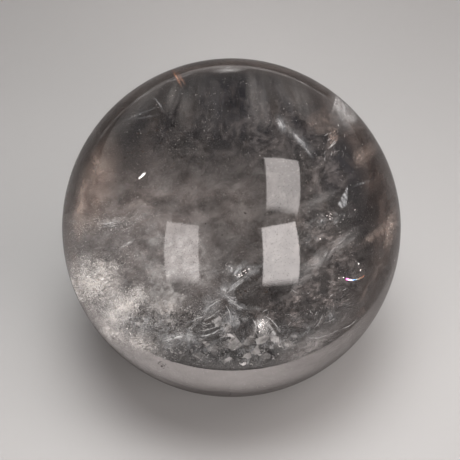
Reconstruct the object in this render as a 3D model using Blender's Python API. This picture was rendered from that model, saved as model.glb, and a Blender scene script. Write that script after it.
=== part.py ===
"""A polished sphere of clear, faintly smoky quartz, resting on a small flat.

Metres, +Z up. The origin is the centre of the flat, so the sphere stands on the XY plane.
"""

import math

import bmesh
import bpy
from mathutils import Vector

# Driving dimensions
SPHERE_DIAMETER = 0.070
FLAT_DIAMETER = 0.012

# How finely the ball is faceted: both are even, so its widest points are vertices
SEGMENTS = 80
RINGS = 54

# Worked out from the driving dimensions
SPHERE_RADIUS = SPHERE_DIAMETER / 2
FLAT_RADIUS = FLAT_DIAMETER / 2
CENTRE_HEIGHT = math.sqrt(SPHERE_RADIUS**2 - FLAT_RADIUS**2)

# Finish of the stone
QUARTZ_COLOUR = (0.62, 0.58, 0.56, 1.0)
QUARTZ_IOR = 1.544
POLISH_ROUGHNESS = 0.02


def clear_scene():
    for obj in list(bpy.data.objects):
        bpy.data.objects.remove(obj, do_unlink=True)


def make_collection(name):
    collection = bpy.data.collections.new(name)
    bpy.context.scene.collection.children.link(collection)
    return collection


def quartz_material():
    material = bpy.data.materials.new("clear_quartz")
    material.use_nodes = True
    shader = material.node_tree.nodes["Principled BSDF"]
    shader.inputs["Base Color"].default_value = QUARTZ_COLOUR
    shader.inputs["Roughness"].default_value = POLISH_ROUGHNESS
    shader.inputs["Metallic"].default_value = 0.0
    shader.inputs["IOR"].default_value = QUARTZ_IOR
    shader.inputs["Transmission Weight"].default_value = 1.0
    return material


def grind_flat(mesh, depth_below_centre):
    """Cuts the ball off at a level plane below its centre and closes the cut with one round face."""
    bm = bmesh.new()
    bm.from_mesh(mesh)
    cut = bmesh.ops.bisect_plane(
        bm,
        geom=bm.verts[:] + bm.edges[:] + bm.faces[:],
        plane_co=Vector((0.0, 0.0, -depth_below_centre)),
        plane_no=Vector((0.0, 0.0, -1.0)),
        clear_outer=True,
    )
    rim = [edge for edge in cut["geom_cut"] if isinstance(edge, bmesh.types.BMEdge)]
    bmesh.ops.edgeloop_fill(bm, edges=rim)
    bmesh.ops.recalc_face_normals(bm, faces=bm.faces[:])
    bm.to_mesh(mesh)
    bm.free()


def quartz_sphere(collection):
    bpy.ops.mesh.primitive_uv_sphere_add(
        segments=SEGMENTS,
        ring_count=RINGS,
        radius=SPHERE_RADIUS,
        location=(0.0, 0.0, CENTRE_HEIGHT),
    )
    ball = bpy.context.object
    ball.name = "quartz_sphere"
    ball.data.name = "quartz_sphere"
    for old in list(ball.users_collection):
        old.objects.unlink(ball)
    collection.objects.link(ball)
    grind_flat(ball.data, CENTRE_HEIGHT)
    ball.data.shade_smooth()
    ball.data.set_sharp_from_angle(angle=math.radians(8.0))
    ball.data.materials.append(quartz_material())
    return ball


def main():
    clear_scene()
    quartz_sphere(make_collection("quartz_sphere_parts"))


main()
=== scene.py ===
"""A polished sphere of rock crystal with veils inside, on a pale floor under soft studio light.

What lies in the stone is placed in pixels of the photograph, and carried into it along the camera's bent
rays. Its depth is a share of the way that such a ray goes through the stone.
"""

import itertools
import math
from collections import namedtuple

import bmesh
import bpy
import numpy as np
from mathutils import Matrix, Vector


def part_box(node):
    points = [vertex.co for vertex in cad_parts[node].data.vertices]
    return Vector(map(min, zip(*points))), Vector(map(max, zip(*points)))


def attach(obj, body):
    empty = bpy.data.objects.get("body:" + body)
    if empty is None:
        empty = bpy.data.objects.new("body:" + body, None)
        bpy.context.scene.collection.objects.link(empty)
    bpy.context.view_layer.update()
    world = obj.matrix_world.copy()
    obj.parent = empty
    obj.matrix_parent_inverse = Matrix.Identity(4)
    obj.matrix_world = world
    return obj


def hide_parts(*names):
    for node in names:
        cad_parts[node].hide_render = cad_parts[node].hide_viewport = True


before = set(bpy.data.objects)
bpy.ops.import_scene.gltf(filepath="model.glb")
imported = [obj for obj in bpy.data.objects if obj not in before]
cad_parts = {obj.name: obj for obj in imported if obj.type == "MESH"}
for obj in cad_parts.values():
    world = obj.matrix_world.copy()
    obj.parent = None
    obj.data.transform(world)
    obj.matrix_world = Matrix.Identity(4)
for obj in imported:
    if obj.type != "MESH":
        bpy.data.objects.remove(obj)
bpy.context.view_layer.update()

MM = 0.001

# The ball, worked out from the frame
BALL_LOW, BALL_HIGH = (Vector(corner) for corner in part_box("quartz_sphere"))
BALL_RADIUS = (BALL_HIGH.x - BALL_LOW.x) / 2
BALL_CENTRE = Vector((0.0, 0.0, BALL_HIGH.z - BALL_RADIUS))
QUARTZ_IOR = 1.544

# The photograph's frame, in pixels, and the ball's place in it
PHOTO_SIZE = 460.0
BALL_PX = (231.47, 227.64)
BALL_RADIUS_PX = 169.38
PX_MM = BALL_RADIUS / MM / BALL_RADIUS_PX

# The camera looks down at the ball from this height angle
CAMERA_ELEVATION = math.radians(47.0)
CAMERA_DISTANCE = 0.60
CLIP_START = 0.01
SENSOR_WIDTH = 36.0
FOCAL_PX = BALL_RADIUS_PX / math.tan(math.asin(BALL_RADIUS / CAMERA_DISTANCE))
TO_CAMERA = Vector((0.0, -math.cos(CAMERA_ELEVATION), math.sin(CAMERA_ELEVATION)))
CAMERA_PLACE = BALL_CENTRE + TO_CAMERA * CAMERA_DISTANCE
RIGHT = Vector((1.0, 0.0, 0.0))
UP = TO_CAMERA.cross(RIGHT)
# The climb of a ray that has left the ball, from no backdrop to full, and the fade-in below the middle
HORIZON = (-0.03, 0.02)
LOWER_HALF_FADE_PX = 30.0


def camera_axes():
    """Right, up and forward of the camera, aimed so that the ball's centre falls on its pixel."""
    metres_per_px = CAMERA_DISTANCE / FOCAL_PX
    aside = RIGHT * ((PHOTO_SIZE / 2 - BALL_PX[0]) * metres_per_px)
    upward = UP * ((BALL_PX[1] - PHOTO_SIZE / 2) * metres_per_px)
    forward = (BALL_CENTRE + aside + upward - CAMERA_PLACE).normalized()
    right = forward.cross(Vector((0.0, 0.0, 1.0))).normalized()
    return right, right.cross(forward), forward


def make_camera():
    data = bpy.data.cameras.new("camera")
    data.sensor_width = SENSOR_WIDTH
    data.lens = FOCAL_PX * SENSOR_WIDTH / PHOTO_SIZE
    data.clip_start = CLIP_START
    camera = bpy.data.objects.new("camera", data)
    bpy.context.scene.collection.objects.link(camera)
    right, up, forward = camera_axes()
    turn = Matrix((right, up, -forward)).transposed()
    camera.matrix_world = Matrix.Translation(CAMERA_PLACE) @ turn.to_4x4()
    bpy.context.scene.camera = camera


def bent_rays(px, py):
    """Where the camera's rays through these pixels enter the ball, and their way and length inside it."""
    px, py = (np.asarray(value, float) for value in (px, py))
    right, up, forward = (np.array(axis) for axis in camera_axes())
    aside = (px - PHOTO_SIZE / 2)[..., None] / FOCAL_PX * right
    upward = (PHOTO_SIZE / 2 - py)[..., None] / FOCAL_PX * up
    ray = forward + aside + upward
    ray /= np.linalg.norm(ray, axis=-1, keepdims=True)
    start = np.array(CAMERA_PLACE - BALL_CENTRE)
    along = ray @ start
    reach = np.sqrt(np.maximum(along**2 - (start @ start - BALL_RADIUS**2), 0.0))
    entry = start + ray * (-along - reach)[..., None]
    normal = entry / BALL_RADIUS
    inner = refracted(ray, normal, 1 / QUARTZ_IOR)
    chord = -2 * (inner * normal).sum(-1, keepdims=True) * BALL_RADIUS
    return entry, inner, chord


def refracted(way, normal, bend):
    """The way of a ray once a surface with this normal and ratio of indices has bent it."""
    slant = -(way * normal).sum(-1, keepdims=True)
    through = np.sqrt(np.maximum(1 - bend**2 * (1 - slant**2), 0.0))
    return bend * way + (bend * slant - through) * normal


def seen_at(px, py, depth):
    """Points in the stone that show at these pixels, at these shares of the way through it."""
    px, py, depth = np.broadcast_arrays(*(np.asarray(value, float) for value in (px, py, depth)))
    entry, inner, chord = bent_rays(px, py)
    return entry + inner * chord * depth[..., None] + np.array(BALL_CENTRE)


def smooth_step(value, low, high):
    part = np.clip((value - low) / (high - low), 0.0, 1.0)
    return part * part * (3 - 2 * part)


def backdrop_share(px, py):
    """How much of the view through the ball at these pixels is the backdrop above the horizon, 0 to 1."""
    entry, inner, chord = bent_rays(px, py)
    leaving = entry + inner * chord
    out = refracted(inner, -leaving / BALL_RADIUS, QUARTZ_IOR)
    lower_half = smooth_step(np.asarray(py, float), BALL_PX[1], BALL_PX[1] + LOWER_HALF_FADE_PX)
    return smooth_step(out[..., 2], *HORIZON) * lower_half


def away_px(px, py):
    """How many pixels these places are from the ball's middle."""
    return np.hypot(px - BALL_PX[0], py - BALL_PX[1])


def in_plain_view(px, py, edge, most):
    """Whether a place lies further in than the edge and where little of the bright backdrop shows."""
    return away_px(px, py) <= BALL_RADIUS_PX - edge and backdrop_share(px, py) <= most


def way_from(right, up, toward=0.0):
    """A way so much to the right, upward and towards the camera."""
    return RIGHT * right + UP * up + TO_CAMERA * toward


def turned(right, up, degrees):
    """How far places lie along and across a way at this angle, anticlockwise from the right."""
    turn = math.radians(degrees)
    return right * math.cos(turn) + up * math.sin(turn), up * math.cos(turn) - right * math.sin(turn)


# Helpers for nodes


def set_node(node, *values, **named):
    """Gives a node's inputs, in order or by name, values or the outputs of other nodes.

    A name in small letters is one of the node's own settings. Those come first, as some bring in inputs.
    """
    for name in filter(str.islower, named):
        setattr(node, name, named[name])
    inputs = {name.replace("_", " "): named[name] for name in named if not name.islower()}
    for key, value in (*enumerate(values), *inputs.items()):
        if isinstance(value, bpy.types.NodeSocket):
            node.id_data.links.new(value, node.inputs[key])
        else:
            node.inputs[key].default_value = value
    return node


def add_node(tree, kind, *values, **named):
    return set_node(tree.nodes.new("ShaderNode" + kind), *values, **named)


def link_math(tree, operation, first, second, clamp=False):
    """A maths node on two outputs, or on an output and a number."""
    return add_node(tree, "Math", first, second, operation=operation, use_clamp=clamp).outputs[0]


def link_range(tree, value, low, high, to_low=0.0, to_high=1.0, blend="LINEAR"):
    """A value carried over from one range to another, and held within it."""
    node = add_node(tree, "MapRange", value, low, high, to_low, to_high, interpolation_type=blend)
    return node.outputs[0]


def link_noise(tree, place, cell, **named):
    """Noise on a place, in lumps of about one cell."""
    return add_node(tree, "TexNoise", place, Scale=1.0 / cell, **named).outputs["Fac"]


def link_ramp(tree, share, stops):
    """The tint of a share from 0 to 1 among stops, each with its position and tint."""
    ramp = add_node(tree, "ValToRGB", share)
    for _ in stops[2:]:
        ramp.color_ramp.elements.new(0.5)
    for stop, (position, tint) in zip(ramp.color_ramp.elements, stops):
        stop.position = position
        stop.color = (*tint, 1.0)
    return ramp.outputs["Color"]


def set_shader(material, **inputs):
    set_node(material.node_tree.nodes["Principled BSDF"], **inputs)


def new_material(name, **inputs):
    material = bpy.data.materials.new(name)
    material.use_nodes = True
    set_shader(material, **inputs)
    return material


# Helpers for objects and meshes

INCLUSIONS = bpy.data.collections.new("inclusions")


def add_object(name, mesh, material):
    obj = bpy.data.objects.new(name, mesh)
    bpy.context.scene.collection.objects.link(obj)
    mesh.materials.append(material)
    return obj


def add_inclusion(name, mesh, material):
    """Something inside the stone: it moves with the stone, and the inner lights reach it."""
    obj = add_object(name, mesh, material)
    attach(obj, "root")
    INCLUSIONS.objects.link(obj)


def add_polygons(name, points, sides, material):
    """An inclusion of loose polygons, each made of the next so many points."""
    count = len(points)
    mesh = bpy.data.meshes.new(name)
    mesh.vertices.add(count)
    mesh.vertices.foreach_set("co", points.astype(np.float32).ravel())
    mesh.loops.add(count)
    mesh.loops.foreach_set("vertex_index", np.arange(count, dtype=np.int32))
    mesh.polygons.add(count // sides)
    mesh.polygons.foreach_set("loop_start", np.arange(0, count, sides, dtype=np.int32))
    mesh.update(calc_edges=True)
    add_inclusion(name, mesh, material)
    return mesh


def add_attribute(mesh, name, values):
    """A number or a vector for each point of a mesh."""
    kind, key = ("FLOAT", "value") if values.ndim == 1 else ("FLOAT_VECTOR", "vector")
    data = mesh.attributes.new(name, kind, "POINT").data
    data.foreach_set(key, values.astype(np.float32).ravel())


# Helpers for noise and random places

LATTICE_PRIMES = np.array((73856093, 19349663, 83492791))
SEED_PRIME = 2654435761
MIXING_PRIMES = (1274126177, 668265263)
LAST_BITS = 0xFFFF


def scrambled(corner, seed):
    """A repeatable random number from 0 to 1 for each corner of a lattice."""
    mixed = np.bitwise_xor.reduce(corner * LATTICE_PRIMES, axis=1)
    mixed = (mixed ^ (seed * SEED_PRIME)) * MIXING_PRIMES[0]
    mixed = (mixed ^ (mixed >> 15)) * MIXING_PRIMES[1]
    return ((mixed ^ (mixed >> 13)) & LAST_BITS) / LAST_BITS


def smooth_noise(points, cell, seed):
    """Noise from 0 to 1 in space that changes over about one cell."""
    place = points / cell
    corner = np.floor(place).astype(np.int64)
    part = smooth_step(place - corner, 0.0, 1.0)
    total = np.zeros(len(points))
    for offset in itertools.product((0, 1), repeat=3):
        weight = np.prod(np.where(offset, part, 1 - part), axis=1)
        total += weight * scrambled(corner + np.array(offset), seed)
    return total


def layered_noise(points, cell, seed, layers):
    """Noise with ever finer layers, each half as strong as the last."""
    total = sum(smooth_noise(points, cell / 2**layer, seed + layer) / 2**layer for layer in range(layers))
    return total / (2 - 2 ** (1 - layers))


def random_directions(rng, count):
    way = rng.normal(size=(count, 3))
    return way / np.linalg.norm(way, axis=1, keepdims=True)


def keep_inside(points, margin):
    """Which points lie in the stone, deeper than a margin."""
    away = np.linalg.norm(points - np.array(BALL_CENTRE), axis=1)
    return (away < BALL_RADIUS - margin) & (points[:, 2] > margin)


# Studio

SOFTBOX_DISTANCE = 0.50
LAMP_COLOUR = (1.0, 0.93, 0.91)
Softbox = namedtuple("Softbox", "name toward span roll radiance")
# The way from the ball is so much to the right, up and towards the camera, read from the reflection.
# The span is the width and height as shares of the distance.
RIGHT_BOX = Softbox("softbox_right", (0.532, -0.295, 0.7995), (0.442, 0.715), 10.0, 8.8)
LEFT_BOX = Softbox("softbox_left", (-0.536, -0.282, 0.804), (0.416, 0.70), -7.0, 4.7)
UPPER_BOX = Softbox("softbox_upper", (0.537, 0.437, 0.716), (0.406, 0.645), -12.6, 5.8)
SOFTBOXES = (UPPER_BOX, RIGHT_BOX, LEFT_BOX)
# How much of a softbox's height fades out at its lower and upper end, and of its width at the sides
SOFTBOX_FADES = (0.14, 0.03, 0.04)


def add_lamp(name, shape, area, radiance):
    data = bpy.data.lights.new(name, "AREA")
    data.shape = shape
    data.energy = radiance * math.pi * area
    lamp = bpy.data.objects.new(name, data)
    bpy.context.scene.collection.objects.link(lamp)
    return lamp


def add_softbox(box):
    width, height = (share * SOFTBOX_DISTANCE for share in box.span)
    lamp = add_lamp(box.name, "RECTANGLE", width * height, box.radiance)
    lamp.data.size = width
    lamp.data.size_y = height
    lamp.data.color = LAMP_COLOUR
    fade_softbox(lamp.data)
    way = way_from(*box.toward).normalized()
    across = UP.cross(way).normalized()
    turn = Matrix((across, way.cross(across), way)).transposed()
    roll = Matrix.Rotation(math.radians(box.roll), 3, "Z")
    place = Matrix.Translation(BALL_CENTRE + way * SOFTBOX_DISTANCE)
    lamp.matrix_world = place @ (turn @ roll).to_4x4()


def fade_softbox(data):
    """Lets the light fade out towards its sides, as the front of a softbox does."""
    data.use_nodes = True
    tree = data.node_tree
    split = add_node(tree, "SeparateXYZ", add_node(tree, "NewGeometry").outputs["Parametric"])
    lower, upper, sides = SOFTBOX_FADES
    ends = (("X", 0.0, sides), ("X", 1.0, 1.0 - sides), ("Y", 0.0, lower), ("Y", 1.0, 1.0 - upper))
    strength = None
    for axis, dark, full in ends:
        fade = link_range(tree, split.outputs[axis], dark, full)
        strength = fade if strength is None else link_math(tree, "MULTIPLY", strength, fade)
    set_node(tree.nodes["Emission"], Strength=strength)


def add_round_lamp(name, size, radiance):
    """A round lamp that leaves no reflection."""
    lamp = add_lamp(name, "DISK", math.pi * size**2 / 4, radiance)
    lamp.data.size = size
    lamp.visible_glossy = False
    lamp.visible_transmission = False
    return lamp


OVERHEAD_SIZE = 0.26
OVERHEAD_HEIGHT = 0.32
OVERHEAD_SPREAD = math.radians(50.0)
OVERHEAD_RADIANCE = 1.2


def add_overhead():
    """A wide soft light above the ball that fills the shadows."""
    lamp = add_round_lamp("overhead_fill", OVERHEAD_SIZE, OVERHEAD_RADIANCE)
    lamp.data.spread = OVERHEAD_SPREAD
    lamp.location = (0.0, 0.0, OVERHEAD_HEIGHT)


InnerLight = namedtuple("InnerLight", "name toward distance size radiance")
# Inside the real ball the curved surface gathers the softboxes' light onto what it holds. These lights
# stand for that, and they reach the inclusions only.
INNER_LIGHTS = (
    InnerLight("gathered_right", (0.60, 0.25, 0.75), 0.50, 0.25, 28.0),
    InnerLight("gathered_left", (-0.55, 0.10, 0.80), 0.50, 0.25, 11.0),
    InnerLight("gathered_top", (0.05, 0.85, 0.50), 0.50, 0.25, 10.0),
    InnerLight("gathered_back", (0.50, 0.75, -0.45), 0.50, 0.25, 12.0),
    InnerLight("gathered_low_back", (-0.60, 0.30, -0.70), 0.50, 0.25, 12.0),
    InnerLight("gathered_low_left", (-0.85, -0.36, 0.36), 0.058, 0.022, 42.0),
)


def add_inner_light(facts):
    way = way_from(*facts.toward).normalized()
    lamp = add_round_lamp(facts.name, facts.size, facts.radiance)
    lamp.location = BALL_CENTRE + way * facts.distance
    lamp.rotation_euler = (-way).to_track_quat("-Z", "Y").to_euler()
    lamp.light_linking.receiver_collection = INCLUSIONS


ROOM_GLOW = 0.10
BACKDROP_GLOW = 1.66
BACKDROP_SHEEN = 0.25
# The backdrop's light grows between these heights of the view, and these shares of looking back
BACKDROP_TOP = (0.62, 0.22)
BACKDROP_SIDE = (-0.35, 0.45)


def make_world():
    """A dim room with a soft pale backdrop behind the ball, brightest just above the horizon.

    The polished surface mirrors less of the backdrop than the stone lets through, as if lit from behind.
    """
    world = bpy.data.worlds.new("studio")
    bpy.context.scene.world = world
    world.use_nodes = True
    tree = world.node_tree
    split = add_node(tree, "SeparateXYZ", add_node(tree, "TexCoord").outputs["Generated"])
    low = link_range(tree, split.outputs["Z"], *BACKDROP_TOP, blend="SMOOTHSTEP")
    back = link_range(tree, split.outputs["Y"], *BACKDROP_SIDE, blend="SMOOTHSTEP")
    passed = add_node(tree, "LightPath").outputs["Is Transmission Ray"]
    most = link_range(tree, passed, 0.0, 1.0, BACKDROP_SHEEN, BACKDROP_GLOW)
    glow = link_range(tree, link_math(tree, "MULTIPLY", low, back), 0.0, 1.0, ROOM_GLOW, most)
    set_node(tree.nodes["Background"], Color=(*LAMP_COLOUR, 1.0), Strength=glow)


FLOOR_COLOUR = (0.34, 0.335, 0.33, 1.0)
FLOOR_SHEEN = (0.155, 0.148, 0.145, 1.0)
FLOOR_ROUGHNESS = 0.9
FLOOR_GLOSS = 0.1
FLOOR_GAP = 0.1 * MM
FLOOR_REACH = 3.0
# The stone shows the floor only up to this line behind it, and the backdrop beyond
EDGE_BEHIND = 0.33
EDGE_SLANT = -0.22


def make_floor():
    """The floor in three parts: near, far, and the darker one that only the polished surface mirrors."""
    reach = FLOOR_REACH
    left, right = (EDGE_BEHIND + EDGE_SLANT * x for x in (-reach, reach))
    near = [(-reach, -reach), (reach, -reach), (reach, right), (-reach, left)]
    far = [(-reach, left), (reach, right), (reach, reach), (-reach, reach)]
    add_floor("floor", near, FLOOR_COLOUR, -FLOOR_GAP).visible_glossy = False
    distant = add_floor("floor_far", far, FLOOR_COLOUR, -FLOOR_GAP)
    distant.visible_glossy = False
    distant.visible_transmission = False
    mirrored = add_floor("floor_mirrored", near, FLOOR_SHEEN, -FLOOR_GAP / 2)
    mirrored.visible_camera = False
    mirrored.visible_diffuse = False
    mirrored.visible_transmission = False
    mirrored.visible_shadow = False


def add_floor(name, corners, colour, height):
    finish = dict(Roughness=FLOOR_ROUGHNESS, Specular_IOR_Level=FLOOR_GLOSS)
    mesh = bpy.data.meshes.new(name)
    mesh.from_pydata([(x, y, height) for x, y in corners], [], [(0, 1, 2, 3)])
    part = add_object(name, mesh, new_material(name, Base_Color=colour, **finish))
    return part


# The stone's polished outside

CLEAR = (1.0, 1.0, 1.0, 1.0)
SMOKE_COLOUR = (0.575, 0.565, 0.56, 1.0)
SMOKE_DENSITY = 62.0
LIGHT_PASSED = (0.60, 0.60, 0.60, 1.0)
ICO_LEVELS = 7
SHARP_ANGLE = math.radians(8.0)


def quartz_material():
    """Clear polished crystal with a little smoke in it, which lets a set share of the light through."""
    finish = dict(Roughness=0.0, IOR=QUARTZ_IOR, Transmission_Weight=1.0)
    material = new_material("clear_quartz", Base_Color=CLEAR, **finish)
    tree = material.node_tree
    shadow = add_node(tree, "LightPath").outputs["Is Shadow Ray"]
    polish = tree.nodes["Principled BSDF"].outputs[0]
    passed = add_node(tree, "BsdfTransparent", LIGHT_PASSED).outputs[0]
    surface = add_node(tree, "MixShader", shadow, polish, passed).outputs[0]
    smoke = add_node(tree, "VolumeAbsorption", Color=SMOKE_COLOUR, Density=SMOKE_DENSITY).outputs[0]
    set_node(tree.nodes["Material Output"], Surface=surface, Volume=smoke)
    return material


def make_ball():
    bm = bmesh.new()
    bmesh.ops.create_icosphere(bm, subdivisions=ICO_LEVELS, radius=BALL_RADIUS)
    bmesh.ops.translate(bm, verts=bm.verts[:], vec=BALL_CENTRE)
    cut = bmesh.ops.bisect_plane(
        bm,
        geom=bm.verts[:] + bm.edges[:] + bm.faces[:],
        plane_co=Vector((0.0, 0.0, 0.0)),
        plane_no=Vector((0.0, 0.0, -1.0)),
        clear_outer=True,
    )
    rim = [edge for edge in cut["geom_cut"] if isinstance(edge, bmesh.types.BMEdge)]
    bmesh.ops.edgeloop_fill(bm, edges=rim)
    bmesh.ops.recalc_face_normals(bm, faces=bm.faces[:])
    mesh = bpy.data.meshes.new("quartz_ball")
    bm.to_mesh(mesh)
    bm.free()
    mesh.shade_smooth()
    mesh.set_sharp_from_angle(angle=SHARP_ANGLE)
    ball = add_object("quartz_ball", mesh, quartz_material())
    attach(ball, "root")
    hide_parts("quartz_sphere")


# Clouds of tiny grains inside the stone

GRAIN_MARGIN = 0.35 * MM
GRAIN_NOISE = 420.0
GRAIN_STOPS = (0.35, 0.62)


def grain_material(name, light, dark, roughness=0.45):
    """Grains whose shade drifts from one tint to the other through the stone."""
    material = new_material(name, Roughness=roughness)
    tree = material.node_tree
    place = add_node(tree, "TexCoord").outputs["Object"]
    noise = add_node(tree, "TexNoise", place, Scale=GRAIN_NOISE, Detail=3.0).outputs["Fac"]
    set_shader(material, Base_Color=link_ramp(tree, noise, tuple(zip(GRAIN_STOPS, (dark, light)))))
    return material


Cloud = namedtuple("Cloud", "centre size angle depth cover grain streak gap flake")
#   centre and size in pixels, size along and across the angle, least and most depth
#   cover: how much of the view it hides; grain: size of its lumps in mm; streak: how drawn out they are
#   gap: the share of it that is bare; flake: size of a grain in mm
WHITE_CLOUDS = (
    Cloud((81, 286), (16, 22), 25, (0.03, 0.12), 2.0, 1.0, 1.6, 0.35, 0.16),
    Cloud((124, 307), (22, 12), 35, (0.04, 0.16), 1.2, 1.1, 1.5, 0.45, 0.16),
    Cloud((97, 268), (27, 9), 15, (0.05, 0.18), 0.5, 1.2, 3.0, 0.55, 0.14),
    Cloud((120, 340), (30, 10), -20, (0.05, 0.20), 0.4, 1.2, 1.5, 0.55, 0.14),
    Cloud((100, 226), (34, 8), 12, (0.10, 0.26), 0.14, 1.0, 4.0, 0.65, 0.12),
    Cloud((165, 322), (40, 18), 10, (0.12, 0.30), 0.45, 1.2, 1.6, 0.60, 0.13),
    Cloud((165, 262), (36, 24), 15, (0.20, 0.40), 0.08, 1.6, 2.0, 0.60, 0.12),
    Cloud((344, 108), (12, 8), -50, (0.03, 0.10), 0.12, 0.8, 1.5, 0.40, 0.12),
    Cloud((151, 130), (15, 18), 0, (0.36, 0.50), 0.26, 0.6, 1.0, 0.70, 0.14),
)
CLOUD_SPREAD = 0.6
CLOUD_EDGE = 0.985
LUMP_SOFTNESS = 0.06
# How much of a grain faces the camera, its area if its sides were 1, and what its uneven size adds
GRAIN_FACING = 0.5
GRAIN_AREA = 0.433
GRAIN_UNEVEN = 1.5


def cloud_points(cloud, rng):
    """Places of the grains of one cloud: thickest at its middle, with bare gaps between its lumps."""
    long_side, short_side = cloud.size
    area = math.pi * long_side * short_side * PX_MM**2
    grain_area = GRAIN_FACING * GRAIN_AREA * cloud.flake**2 * GRAIN_UNEVEN
    wanted = int(cloud.cover * area / grain_area)
    tries = int(wanted / (1 - cloud.gap))
    away = rng.normal(scale=CLOUD_SPREAD, size=(tries, 2))
    turn = math.radians(cloud.angle)
    along, across = away[:, 0] * long_side, away[:, 1] * short_side
    px = cloud.centre[0] + along * math.cos(turn) - across * math.sin(turn)
    py = cloud.centre[1] - along * math.sin(turn) - across * math.cos(turn)
    depth = rng.uniform(*cloud.depth, size=tries)
    on_ball = away_px(px, py) < BALL_RADIUS_PX * CLOUD_EDGE
    points = seen_at(px[on_ball], py[on_ball], depth[on_ball])
    way = np.array(way_from(math.cos(turn), math.sin(turn)))
    squeezed = points - np.outer(points @ way, way) * (1 - 1 / cloud.streak)
    lumps = layered_noise(squeezed, cloud.grain * MM, int(cloud.centre[0]), 3)
    level = np.quantile(lumps, cloud.gap)
    kept = rng.uniform(size=len(lumps)) < np.clip((lumps - level) / LUMP_SOFTNESS + 0.5, 0, 1)
    points = points[kept]
    return points[keep_inside(points, GRAIN_MARGIN)]


# A grain's reach for a side of 1, how much the sizes vary, and how far a corner may be out of place
GRAIN_REACH = 0.577
SIZE_SPREAD = 0.35
CORNER_SHIFT = 0.3


def grain_corners(points, size, rng):
    """The corners of a loose triangle of about this size at each point, turned at random."""
    count = len(points)
    facing = random_directions(rng, count)
    first = np.cross(facing, random_directions(rng, count))
    first /= np.linalg.norm(first, axis=1, keepdims=True)
    second = np.cross(facing, first)
    reach = size * MM * GRAIN_REACH * rng.lognormal(0.0, SIZE_SPREAD, size=(count, 1))
    corners = []
    for corner in range(3):
        turn = 2 * math.pi / 3 * (corner + rng.uniform(-CORNER_SHIFT, CORNER_SHIFT, size=(count, 1)))
        corners.append(points + reach * (first * np.cos(turn) + second * np.sin(turn)))
    return np.stack(corners, axis=1).reshape(-1, 3)


HAZE_TRIES = 400000
HAZE_FLAKE = 0.10
HAZE_CELL = 5.0
HAZE_BACK = -0.45
HAZE_MARGIN = 2.5 * MM
# The chance of a grain anywhere, what a sheet adds to it, and half the thickness of a sheet in the noise
HAZE_LEAST, HAZE_SHEET, HAZE_THICKNESS = 0.03, 0.5, 0.02
HAZE_SPREAD = (0.4, 0.6)
SHEET_SEED, SPREAD_SEED = 131, 151


def haze_points(rng):
    """Fine grains all through the stone, gathered in sheets where a smooth noise crosses its middle."""
    middle = np.array(BALL_CENTRE)
    points = random_directions(rng, HAZE_TRIES) * rng.uniform(size=(HAZE_TRIES, 1)) ** (1 / 3)
    points = points * BALL_RADIUS + middle
    sheet = np.abs(layered_noise(points, HAZE_CELL * MM, SHEET_SEED, 3) - 0.5)
    spread = smooth_step(layered_noise(points, 2 * HAZE_CELL * MM, SPREAD_SEED, 2), *HAZE_SPREAD)
    chance = HAZE_LEAST + HAZE_SHEET * np.exp(-((sheet / HAZE_THICKNESS) ** 2)) * spread
    kept = (rng.uniform(size=HAZE_TRIES) < chance) & keep_inside(points, HAZE_MARGIN)
    kept &= (points - middle) @ np.array(TO_CAMERA) > HAZE_BACK * BALL_RADIUS
    return points[kept]


def make_clouds():
    rng = np.random.default_rng(11)
    material = grain_material("milky_grains", (0.93, 0.89, 0.86), (0.70, 0.66, 0.63))
    corners = [grain_corners(cloud_points(cloud, rng), cloud.flake, rng) for cloud in WHITE_CLOUDS]
    add_polygons("milky_grains", np.concatenate(corners), 3, material)
    add_polygons("haze_grains", grain_corners(haze_points(rng), HAZE_FLAKE, rng), 3, material)


# Thin curved veils with soft patterns, and sheets of painted shade, light and reflection

# A patch is a plain row: x, y, length along its angle and width across it, in pixels, angle and strength
Arc = namedtuple("Arc", "radius width low high strength")
#   radius as a share of the ball's, width in pixels, angles in degrees anticlockwise from the right
Corner = namedtuple("Corner", "points soft strength")
#   a convex outline in pixels, anticlockwise as seen, and how many pixels its edges take to fade
PATTERN_DEFAULTS = (1.0, 0.0, 0.0, None, 0.7, 14.0)
PATTERN_FIELDS = "cell angle stretch contrast milk threads shards hub rough wave"
Pattern = namedtuple("Pattern", PATTERN_FIELDS, defaults=PATTERN_DEFAULTS)
#   cell: size of its lumps in mm, drawn out along the angle, or about the hub if it has one, where an
#   angle of 0 points away from the hub and 90 circles it; milk, threads and shards: how much of each
#   rough: how much fine detail it has; wave: how far it is bent about, in pixels
VEIL_FIELDS = "name depth sway seed pattern tints patches step clump over"
Veil = namedtuple("Veil", VEIL_FIELDS, defaults=(3.0, 0.0, 0.0))
#   sway: how much its depth varies; step: the spacing of its mesh in pixels
#   clump: size in pixels of the lumps that it is broken into; over: how much of it hides the crescent too
MILK_TINTS = ((0.30, 0.275, 0.265), (0.66, 0.635, 0.625), (0.96, 0.94, 0.92))
CREAM_TINTS = ((0.34, 0.29, 0.26), (0.86, 0.79, 0.74), (1.0, 0.97, 0.94))
ICE_TINTS = ((0.20, 0.20, 0.21), (0.55, 0.56, 0.57), (0.94, 0.93, 0.93))
MAUVE_TINTS = ((0.19, 0.16, 0.15), (0.41, 0.355, 0.335), (0.66, 0.59, 0.56))
PEACH_TINTS = ((0.34, 0.24, 0.20), (0.62, 0.47, 0.40), (0.88, 0.72, 0.62))
ORANGE_TINTS = ((0.40, 0.16, 0.08), (0.60, 0.28, 0.17), (0.75, 0.45, 0.32))
SHELF_TINTS = ((0.10, 0.088, 0.083), (0.17, 0.152, 0.146), (0.25, 0.226, 0.216))
FROST_TINTS = ((0.22, 0.20, 0.195), (0.36, 0.335, 0.327), (0.54, 0.51, 0.50))
LEDGE_TINTS = ((0.22, 0.20, 0.195), (0.30, 0.278, 0.27), (0.40, 0.375, 0.365))
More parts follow.
